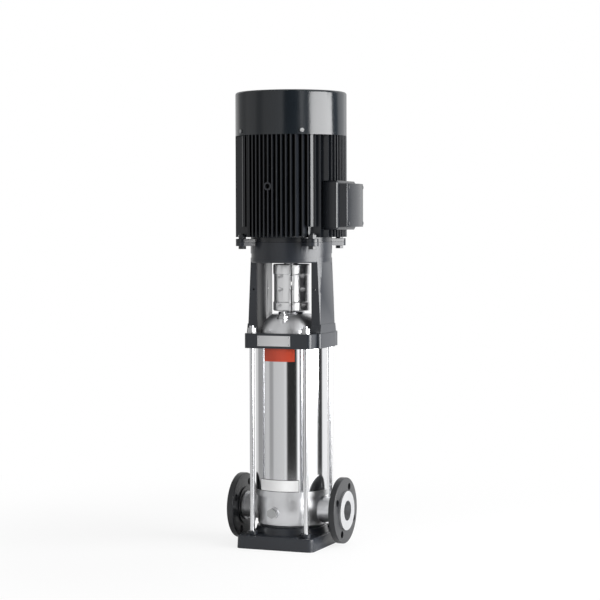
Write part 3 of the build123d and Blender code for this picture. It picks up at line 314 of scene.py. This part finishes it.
def blasted_steel(name, colour, rough, grain, scale=1400.0, metal=1.0):
    """Steel with a fine even grain and a faint tone drift."""
    material, steel = blank_material(name)
    place = steel.node("ShaderNodeTexCoord", output="Object")
    grit = steel.node("ShaderNodeTexNoise", {}, {"Vector": place, "Scale": scale, "Detail": 3.0})
    drift = steel.node("ShaderNodeTexNoise", {}, {"Vector": place, "Scale": 18.0, "Detail": 4.0})
    skin = steel.node("ShaderNodeBump", {}, {"Strength": 0.3, "Distance": grain, "Height": grit})
    surface = steel.node("ShaderNodeBsdfPrincipled", {}, {
        "Base Color": blend(steel, drift, shade(colour, 0.86), shade(colour, 1.1)),
        "Metallic": metal, "Roughness": rough - 0.05 + drift * 0.1, "Normal": skin})
    steel.node("ShaderNodeOutputMaterial", {}, {"Surface": surface})
    return material


cast_steel = blasted_steel("blasted_cast_steel", (0.72, 0.725, 0.74), rough=0.36, grain=0.0004)
zinc = blasted_steel("bright_zinc", (0.42, 0.425, 0.43), rough=0.34, grain=0.00012, scale=2200.0)
flange_paint = painted_iron("dark_flange_paint", (0.013, 0.014, 0.016), rough=0.32, grain=0.0004)
finished("base_chamber", cast_steel, rounding=0.0014, segments=3)
for loose_flange in ("suction_flange", "discharge_flange"):
    finished(loose_flange, flange_paint, rounding=0.0008)
finished("port_lock_rings", zinc, rounding=0.0004)
finished("drain_plug", zinc, rounding=0.0006)


# ---- Outer sleeve ----
# A rolled stainless tube between the chamber's collar and the stool's foot plate. It is ground
# round its girth and then polished, so upright bands of the room stay sharp in it.

def ground_steel(name, colour, rough, girth):
    """Polished steel with very fine grinding lines that run round the Z axis."""
    material, steel = blank_material(name)
    place = steel.node("ShaderNodeTexCoord", output="Object")
    stretch = steel.node("ShaderNodeMapping", {}, {"Vector": place, "Scale": (girth, girth, 2600.0)})
    lines = steel.node("ShaderNodeTexNoise", {}, {"Vector": stretch, "Scale": 1.0, "Detail": 2.0})
    cloud = steel.node("ShaderNodeTexNoise", {}, {"Vector": place, "Scale": 9.0, "Detail": 3.0})
    skin = steel.node("ShaderNodeBump", {}, {"Strength": 0.06, "Distance": 0.00008, "Height": lines})
    surface = steel.node("ShaderNodeBsdfPrincipled", {}, {
        "Base Color": (*colour, 1), "Metallic": 1.0, "Roughness": rough + lines * 0.05 + cloud * 0.03,
        "Normal": skin})
    steel.node("ShaderNodeOutputMaterial", {}, {"Surface": surface})
    return material


def turned(shape, section, centre=(0, 0), steps=256):
    """Add a closed half section of (radius, height) points, turned round an upright axis."""
    x, y = centre
    points = [shape.verts.new((x + radius, y, height)) for radius, height in section]
    rim = [shape.edges.new(pair) for pair in zip(points, points[1:] + points[:1])]
    bmesh.ops.spin(shape, geom=points + rim, cent=(x, y, 0), axis=(0, 0, 1), dvec=(0, 0, 0),
                   angle=2 * pi, steps=steps, use_merge=True, use_duplicate=False)


def built(name, shape, material, body, sharp=30):
    """A new piece from a bmesh, with its faces turned outwards."""
    bmesh.ops.recalc_face_normals(shape, faces=shape.faces)
    return placed(name, shape, bpy.data.meshes.new(name), material, body, sharp)


# The tube of the solids is narrower and sits inside the collar. This one stands on the collar.
sleeve_radius = 0.0908
sleeve_wall = 0.0025
sleeve_bore = sleeve_radius - sleeve_wall
collar_depth = 0.0086
sleeve_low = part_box("outer_sleeve")[0].z + collar_depth
sleeve_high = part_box("motor_stool")[0].z
seam_gap = 1e-7

polished = ground_steel("polished_sleeve_steel", (0.70, 0.705, 0.72), rough=0.07, girth=14.0)
sleeve_shape = bmesh.new()
turned(sleeve_shape, [(sleeve_bore, sleeve_low), (sleeve_radius, sleeve_low),
                      (sleeve_radius, sleeve_high), (sleeve_bore, sleeve_high)])
bmesh.ops.remove_doubles(sleeve_shape, verts=sleeve_shape.verts, dist=seam_gap)
sleeve = built("polished_sleeve", sleeve_shape, polished, "pump_body")
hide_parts("outer_sleeve")


# ---- Staybolts ----
# Four drawn steel bars tie the stool to the base and clamp the sleeve between them. Their rolled
# threads show above the zinc-plated nuts on the foot plate.

rod_radius = 0.006
thread_pitch = 0.00125
thread_turns = 3
thread_below_end = 0.0048
thread_root = rod_radius - 0.0002
thread_crest = rod_radius + 0.0003
thread_steps = 32
rod_low, rod_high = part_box("staybolts")

drawn = ground_steel("drawn_bar_steel", (0.74, 0.745, 0.76), rough=0.12, girth=40.0)
finished("staybolts", drawn, rounding=0)
thread_shape = bmesh.new()
for x in (rod_low.x + rod_radius, rod_high.x - rod_radius):
    for y in (rod_low.y + rod_radius, rod_high.y - rod_radius):
        for turn in range(thread_turns):
            foot = rod_high.z - thread_below_end + turn * thread_pitch
            ridge = [(thread_root, foot), (thread_crest, foot + thread_pitch / 2),
                     (thread_root, foot + thread_pitch)]
            turned(thread_shape, ridge, (x, y), thread_steps)
bmesh.ops.remove_doubles(thread_shape, verts=thread_shape.verts, dist=seam_gap)
built("staybolt_threads", thread_shape, drawn, "pump_body", sharp=0)
finished("collar_nuts", zinc, rounding=0.0005)


# ---- Stickers on the sleeve ----
# Two printed foil stickers are wrapped round the front of the sleeve: an orange-red one under
# the stool and a white one with a thin dark border above the collar. Both are left bare.

def printed_foil(name, colour, rough=0.38):
    """Vinyl foil with a faint grain and a slightly uneven gloss."""
    material, vinyl = blank_material(name)
    place = vinyl.node("ShaderNodeTexCoord", output="Object")
    grain = vinyl.node("ShaderNodeTexNoise", {}, {"Vector": place, "Scale": 1200.0, "Detail": 2.0})
    haze = vinyl.node("ShaderNodeTexNoise", {}, {"Vector": place, "Scale": 30.0, "Detail": 3.0})
    skin = vinyl.node("ShaderNodeBump", {}, {"Strength": 0.1, "Distance": 0.00005, "Height": grain})
    surface = vinyl.node("ShaderNodeBsdfPrincipled", {}, {
        "Base Color": blend(vinyl, haze, shade(colour, 0.93), colour),
        "Roughness": rough - 0.05 + haze * 0.1, "Normal": skin})
    vinyl.node("ShaderNodeOutputMaterial", {}, {"Surface": surface})
    return material


foil_thick = 0.00012
foil_steps = 48
orange_low, orange_high = 0.4655, 0.4990
orange_start, orange_end = -26, 27
white_low, white_high = 0.1410, 0.1710
white_start, white_end = -36.5, 33.4
border = 0.0014
border_turn = 0.9


def wrapped(name, material, radius, low, high, start, end):
    """A foil patch round the Z axis between two turns in degrees, from -Y towards +X."""
    shape = bmesh.new()
    section = [(radius, low), (radius + foil_thick, low), (radius + foil_thick, high), (radius, high)]
    patch = shape.faces.new([shape.verts.new((0, -reach, height)) for reach, height in section])
    bmesh.ops.rotate(shape, verts=shape.verts, cent=(0, 0, 0),
                     matrix=Matrix.Rotation(radians(start), 3, "Z"))
    bmesh.ops.spin(shape, geom=[patch], cent=(0, 0, 0), axis=(0, 0, 1), dvec=(0, 0, 0),
                   angle=radians(end - start), steps=foil_steps, use_merge=False, use_duplicate=False)
    built(name, shape, material, "pump_body")


orange_foil = printed_foil("orange_red_foil", (0.56, 0.060, 0.024))
dark_foil = printed_foil("dark_foil", (0.03, 0.03, 0.033))
white_foil = printed_foil("white_foil", (0.92, 0.92, 0.92))
wrapped("orange_sticker", orange_foil, sleeve_radius, orange_low, orange_high, orange_start, orange_end)
wrapped("white_sticker_border", dark_foil, sleeve_radius, white_low, white_high, white_start, white_end)
wrapped("white_sticker_field", white_foil, sleeve_radius + foil_thick, white_low + border,
        white_high - border, white_start + border_turn, white_end - border_turn)


# ---- Stage stack ----
# Inside the sleeve stand eight pressed stainless cups with their impellers, on one shaft. They
# are satin from the press, and dark carbide bushes steady the shaft.

def coat(node, material):
    """Give a node that keeps its own mesh its material."""
    part = frame["nodes"][node]
    if not part.material_slots:
        part.data.materials.append(material)
    for place in part.material_slots:
        place.material = material


stage_count = 8
pressed = blasted_steel("pressed_sheet_steel", (0.60, 0.61, 0.63), rough=0.3, grain=0.0001, scale=900.0)
shaft_steel = ground_steel("ground_shaft_steel", (0.62, 0.62, 0.64), rough=0.14, girth=60.0)
carbide = blasted_steel("dark_carbide", (0.035, 0.035, 0.04), rough=0.22, grain=0.00005, scale=3000.0,
                        metal=0.0)
for number in range(1, stage_count + 1):
    coat(f"stage_chamber_{number}", pressed)
    coat(f"impeller_{number}", pressed)
coat("inlet_guide", pressed)
coat("shaft_bushes", carbide)
coat("shaft_nut", zinc)
finished("pump_shaft", shaft_steel, rounding=0.0004, segments=1)


# ---- Pump head and shaft seal ----
# A bell-shaped stainless casting closes the sleeve. The cartridge seal sits in its top under a
# turned cover, and the vent plug stands on a spot face on its flank.

def rubber(name, tone):
    """Matt rubber or moulding with a faint bloom."""
    material, compound = blank_material(name)
    place = compound.node("ShaderNodeTexCoord", output="Object")
    bloom = compound.node("ShaderNodeTexNoise", {}, {"Vector": place, "Scale": 160.0, "Detail": 4.0})
    surface = compound.node("ShaderNodeBsdfPrincipled", {}, {
        "Base Color": blend(compound, bloom, (tone, tone, tone), (tone * 2, tone * 2, tone * 2.1)),
        "Roughness": 0.6 + bloom * 0.2})
    compound.node("ShaderNodeOutputMaterial", {}, {"Surface": surface})
    return material


finished("pump_head", cast_steel, rounding=0.0005)
finished("seal_cover", pressed, rounding=0.0005)
finished("vent_plug", zinc, rounding=0.0005)
finished("vent_screw", zinc, rounding=0.0003)
coat("seal_seat", carbide)
coat("seal_ring", carbide)
coat("o_rings", rubber("black_rubber", 0.012))


# ---- Motor stool ----
# One iron casting: a foot plate on the staybolts, two curved legs with open windows between
# them, and a stepped ring with four lugs for the motor. Painted with the base.

finished("motor_stool", iron_paint, rounding=0.0012)


# ---- Plate on the stool's foot ----
# A bare stamped aluminium plate lies on the foot plate's front edge. It is held by a small
# drive rivet in each corner.

def domes(name, places, radius, rise, material):
    """Domed rivet heads at the given places on the pump's front, facing -Y."""
    shape = bmesh.new()
    outwards = Vector((0, -1, 0)).to_track_quat("Z", "Y").to_matrix().to_4x4()
    for place in places:
        bmesh.ops.create_uvsphere(shape, u_segments=20, v_segments=12, radius=1, matrix=(
            Matrix.Translation(Vector(place)) @ outwards @ Matrix.Diagonal((radius, radius, rise, 1))))
    built(name, shape, material, "pump_body")


plate_left, plate_right = -0.052, 0.036
plate_thick = 0.0006
plate_sink = 0.0002
plate_edge = 0.0002
foot_front = -0.098
foot_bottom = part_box("motor_stool")[0].z
plate_low, plate_high = foot_bottom + 0.006, foot_bottom + 0.032
plate_front = foot_front - plate_thick
plate_rivet_inset = 0.004
plate_rivet_radius = 0.0016
plate_rivet_rise = 0.0011

stamped = blasted_steel("stamped_aluminium", (0.70, 0.70, 0.71), rough=0.32, grain=0.00006, scale=1500.0)
near_corner = Vector((plate_left, plate_front, plate_low))
far_corner = Vector((plate_right, foot_front + plate_sink, plate_high))
plate_shape = bmesh.new()
bmesh.ops.create_cube(plate_shape, size=1, matrix=(
    Matrix.Translation((near_corner + far_corner) / 2) @ Matrix.Diagonal((*(far_corner - near_corner), 1))))
bmesh.ops.bevel(plate_shape, geom=plate_shape.edges, offset=plate_edge, affect="EDGES", segments=2,
                profile=0.5, material=-1)
built("stool_plate", plate_shape, stamped, "pump_body")
plate_rivets = [(x, plate_front, z)
                for x in (plate_left + plate_rivet_inset, plate_right - plate_rivet_inset)
                for z in (plate_low + plate_rivet_inset, plate_high - plate_rivet_inset)]
domes("stool_plate_rivets", plate_rivets, plate_rivet_radius, plate_rivet_rise, zinc)


# ---- Coupling ----
# Two turned steel halves clamp both shafts with six socket screws across the split. They are
# left bare and oiled, so they are the brightest pieces in the windows.

coupling_steel = ground_steel("turned_coupling_steel", (0.88, 0.885, 0.895), rough=0.38, girth=30.0)
for side in ("left", "right"):
    finished(f"coupling_half_{side}", coupling_steel, rounding=0.0006)
finished("coupling_screws", zinc, rounding=0.0003, segments=1)


# ---- Motor housing ----
# The frame is an aluminium extrusion with parallel fins, closed by a flanged end shield below
# and a fan shield above. All of it is sprayed in nearly black satin paint.

fin_rivet_x = 0.0170
fin_rivet_y = -0.1390
fin_rivet_heights = (0.935, 0.867)
fin_rivet_radius = 0.0022
fin_rivet_rise = 0.0014

motor_paint = painted_iron("dark_motor_paint", (0.0120, 0.0140, 0.0175), rough=0.24, grain=0.0002)
finished("drive_end_shield", motor_paint, rounding=0.0008)
finished("motor_frame", motor_paint, rounding=0.0005)
finished("fan_end_shield", motor_paint, rounding=0.0008)
for fastener in ("flange_bolts", "flange_nuts"):
    finished(fastener, motor_paint, rounding=0.0005)
domes("frame_rivets", [(fin_rivet_x, fin_rivet_y, height) for height in fin_rivet_heights],
      fin_rivet_radius, fin_rivet_rise, motor_paint)


# ---- Rotor, stator and bearings ----
# Behind the closed housing: a stack of punched sheets with copper coils, a cast cage rotor on
# a ground shaft, and two ball bearings.

def laminated(name, colour):
    """Edges of stacked sheet: fine dark lines across the height."""
    material, stack = blank_material(name)
    place = stack.node("ShaderNodeTexCoord", output="Object")
    sheets = stack.node("ShaderNodeTexWave", {"wave_type": "BANDS", "bands_direction": "Z"}, {
        "Vector": place, "Scale": 320.0, "Distortion": 0.3})
    surface = stack.node("ShaderNodeBsdfPrincipled", {}, {
        "Base Color": blend(stack, sheets, shade(colour, 0.7), colour), "Metallic": 1.0,
        "Roughness": 0.35 + sheets * 0.15})
    stack.node("ShaderNodeOutputMaterial", {}, {"Surface": surface})
    return material


copper = blasted_steel("varnished_copper", (0.55, 0.22, 0.08), rough=0.35, grain=0.0003, scale=500.0,
                       metal=0.8)
cage = blasted_steel("cast_cage_aluminium", (0.62, 0.62, 0.64), rough=0.4, grain=0.0003, scale=700.0)
race = blasted_steel("polished_race_steel", (0.72, 0.72, 0.74), rough=0.15, grain=0.00003, scale=2500.0)
coat("stator_core", laminated("punched_sheet_stack", (0.32, 0.32, 0.34)))
coat("stator_windings", copper)
coat("rotor_core", cage)
finished("motor_shaft", shaft_steel, rounding=0.0006, segments=1)
for bearing_part in ("bearing_outer_rings", "bearing_inner_rings", "bearing_balls"):
    coat(bearing_part, race)


# ---- Fan and fan cover ----
# A moulded radial fan turns under a drawn steel cowl. The cowl has a rolled upper edge and
# ring slots, and four screws hold it on the upper shield's ears.

cowl_paint = painted_iron("dark_cowl_paint", (0.0090, 0.0120, 0.0155), rough=0.17, grain=0.00008)
coat("fan", rubber("black_moulding", 0.02))
finished("fan_cover", cowl_paint, rounding=0.0005)
finished("fan_cover_screws", zinc, rounding=0.0004)


# ---- Terminal box and its lid ----
# A die-cast box on the frame's pad, with a die-cast lid whose front is crowned. Four screws at
# the corners hold the lid. They stand a little back, because the crown falls off to the sides.

lid_low, lid_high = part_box("terminal_box_cover")
lid_bulge = 0.008
lid_wall = 0.004
lid_edge = 0.001
crown_steps = 12
screw_depth = 0.005
half_width = (lid_high.y - lid_low.y) / 2
crown_radius = (half_width ** 2 + lid_bulge ** 2) / (2 * lid_bulge)
crown_swing = atan2(half_width, crown_radius - lid_bulge)
crown_turns = [crown_swing * step / crown_steps for step in range(-crown_steps, crown_steps + 1)]
crown = [(lid_high.x - crown_radius + crown_radius * cos(turn), crown_radius * sin(turn))
         for turn in crown_turns]

finished("terminal_box", motor_paint, rounding=0.0008)
lid_shape = bmesh.new()
outline = [(lid_low.x, lid_low.y), *crown, (lid_low.x, lid_high.y)]
lid_bottom = lid_shape.faces.new([lid_shape.verts.new((x, y, lid_low.z)) for x, y in outline])
raised = bmesh.ops.extrude_face_region(lid_shape, geom=[lid_bottom])["geom"]
bmesh.ops.translate(lid_shape, vec=(0, 0, lid_high.z - lid_low.z),
                    verts=[v for v in raised if isinstance(v, bmesh.types.BMVert)])
bmesh.ops.recalc_face_normals(lid_shape, faces=lid_shape.faces)
lid_back = [face for face in lid_shape.faces if face.normal.x < -0.9]
bmesh.ops.delete(lid_shape, geom=lid_back, context="FACES")
lid_corners = [edge for edge in lid_shape.edges
               if len(edge.link_faces) == 2 and edge.calc_face_angle(0) > radians(40)]
bmesh.ops.bevel(lid_shape, geom=lid_corners, offset=lid_edge, affect="EDGES", segments=2, profile=0.5,
                material=-1, clamp_overlap=True)
lid = built("terminal_box_lid", lid_shape, motor_paint, "pump_body")
lid_shell = lid.modifiers.new("wall", "SOLIDIFY")
lid_shell.thickness = lid_wall
lid_shell.offset = -1
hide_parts("terminal_box_cover")
finished("terminal_cover_screws", motor_paint, rounding=0.0004, shift=(-screw_depth, 0, 0))


# ---- Rim round the terminal box ----
# A cast frame stands out round the box behind its lid. Its corners are rounded, and its front
# slopes in to meet the lid.

box_low, box_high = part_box("terminal_box")
rim_reach = 0.0065
rim_lip = 0.0005
rim_slope = 0.0055
rim_back = 0.084
rim_front = box_high.x + 0.007
rim_corner = 0.005
rim_wall = 0.0055

rim_shape = bmesh.new()
rim_loops = []
for x, reach in ((rim_back, rim_reach), (rim_front - rim_slope, rim_reach), (rim_front, rim_lip)):
    half_y = reach - box_low.y
    low_z, high_z = box_low.z - reach, box_high.z + reach
    rim_loops.append([rim_shape.verts.new((x, y, z)) for y, z in (
        (-half_y, low_z), (half_y, low_z), (half_y, high_z), (-half_y, high_z))])
for back_loop, front_loop in zip(rim_loops, rim_loops[1:]):
    for corner in range(4):
        after = (corner + 1) % 4
        rim_shape.faces.new((back_loop[corner], back_loop[after], front_loop[after], front_loop[corner]))
rim_lengths = [edge for edge in rim_shape.edges if len(edge.link_faces) == 2
               and abs(edge.verts[0].co.x - edge.verts[1].co.x) > rim_slope / 2]
bmesh.ops.bevel(rim_shape, geom=rim_lengths, offset=rim_corner, affect="EDGES", segments=5, profile=0.5,
                material=-1)
rim = built("terminal_box_surround", rim_shape, motor_paint, "pump_body")
rim_shell = rim.modifiers.new("wall", "SOLIDIFY")
rim_shell.thickness = rim_wall
rim_shell.offset = -1


# ---- Terminal block and cable gland ----
# The moulded block inside the box takes the cable ends. The cable enters through a plastic
# gland, which is screwed into the box's far side.

coat("terminal_block", rubber("brown_block", 0.06))
finished("cable_gland", rubber("black_gland", 0.015), rounding=0.0005)
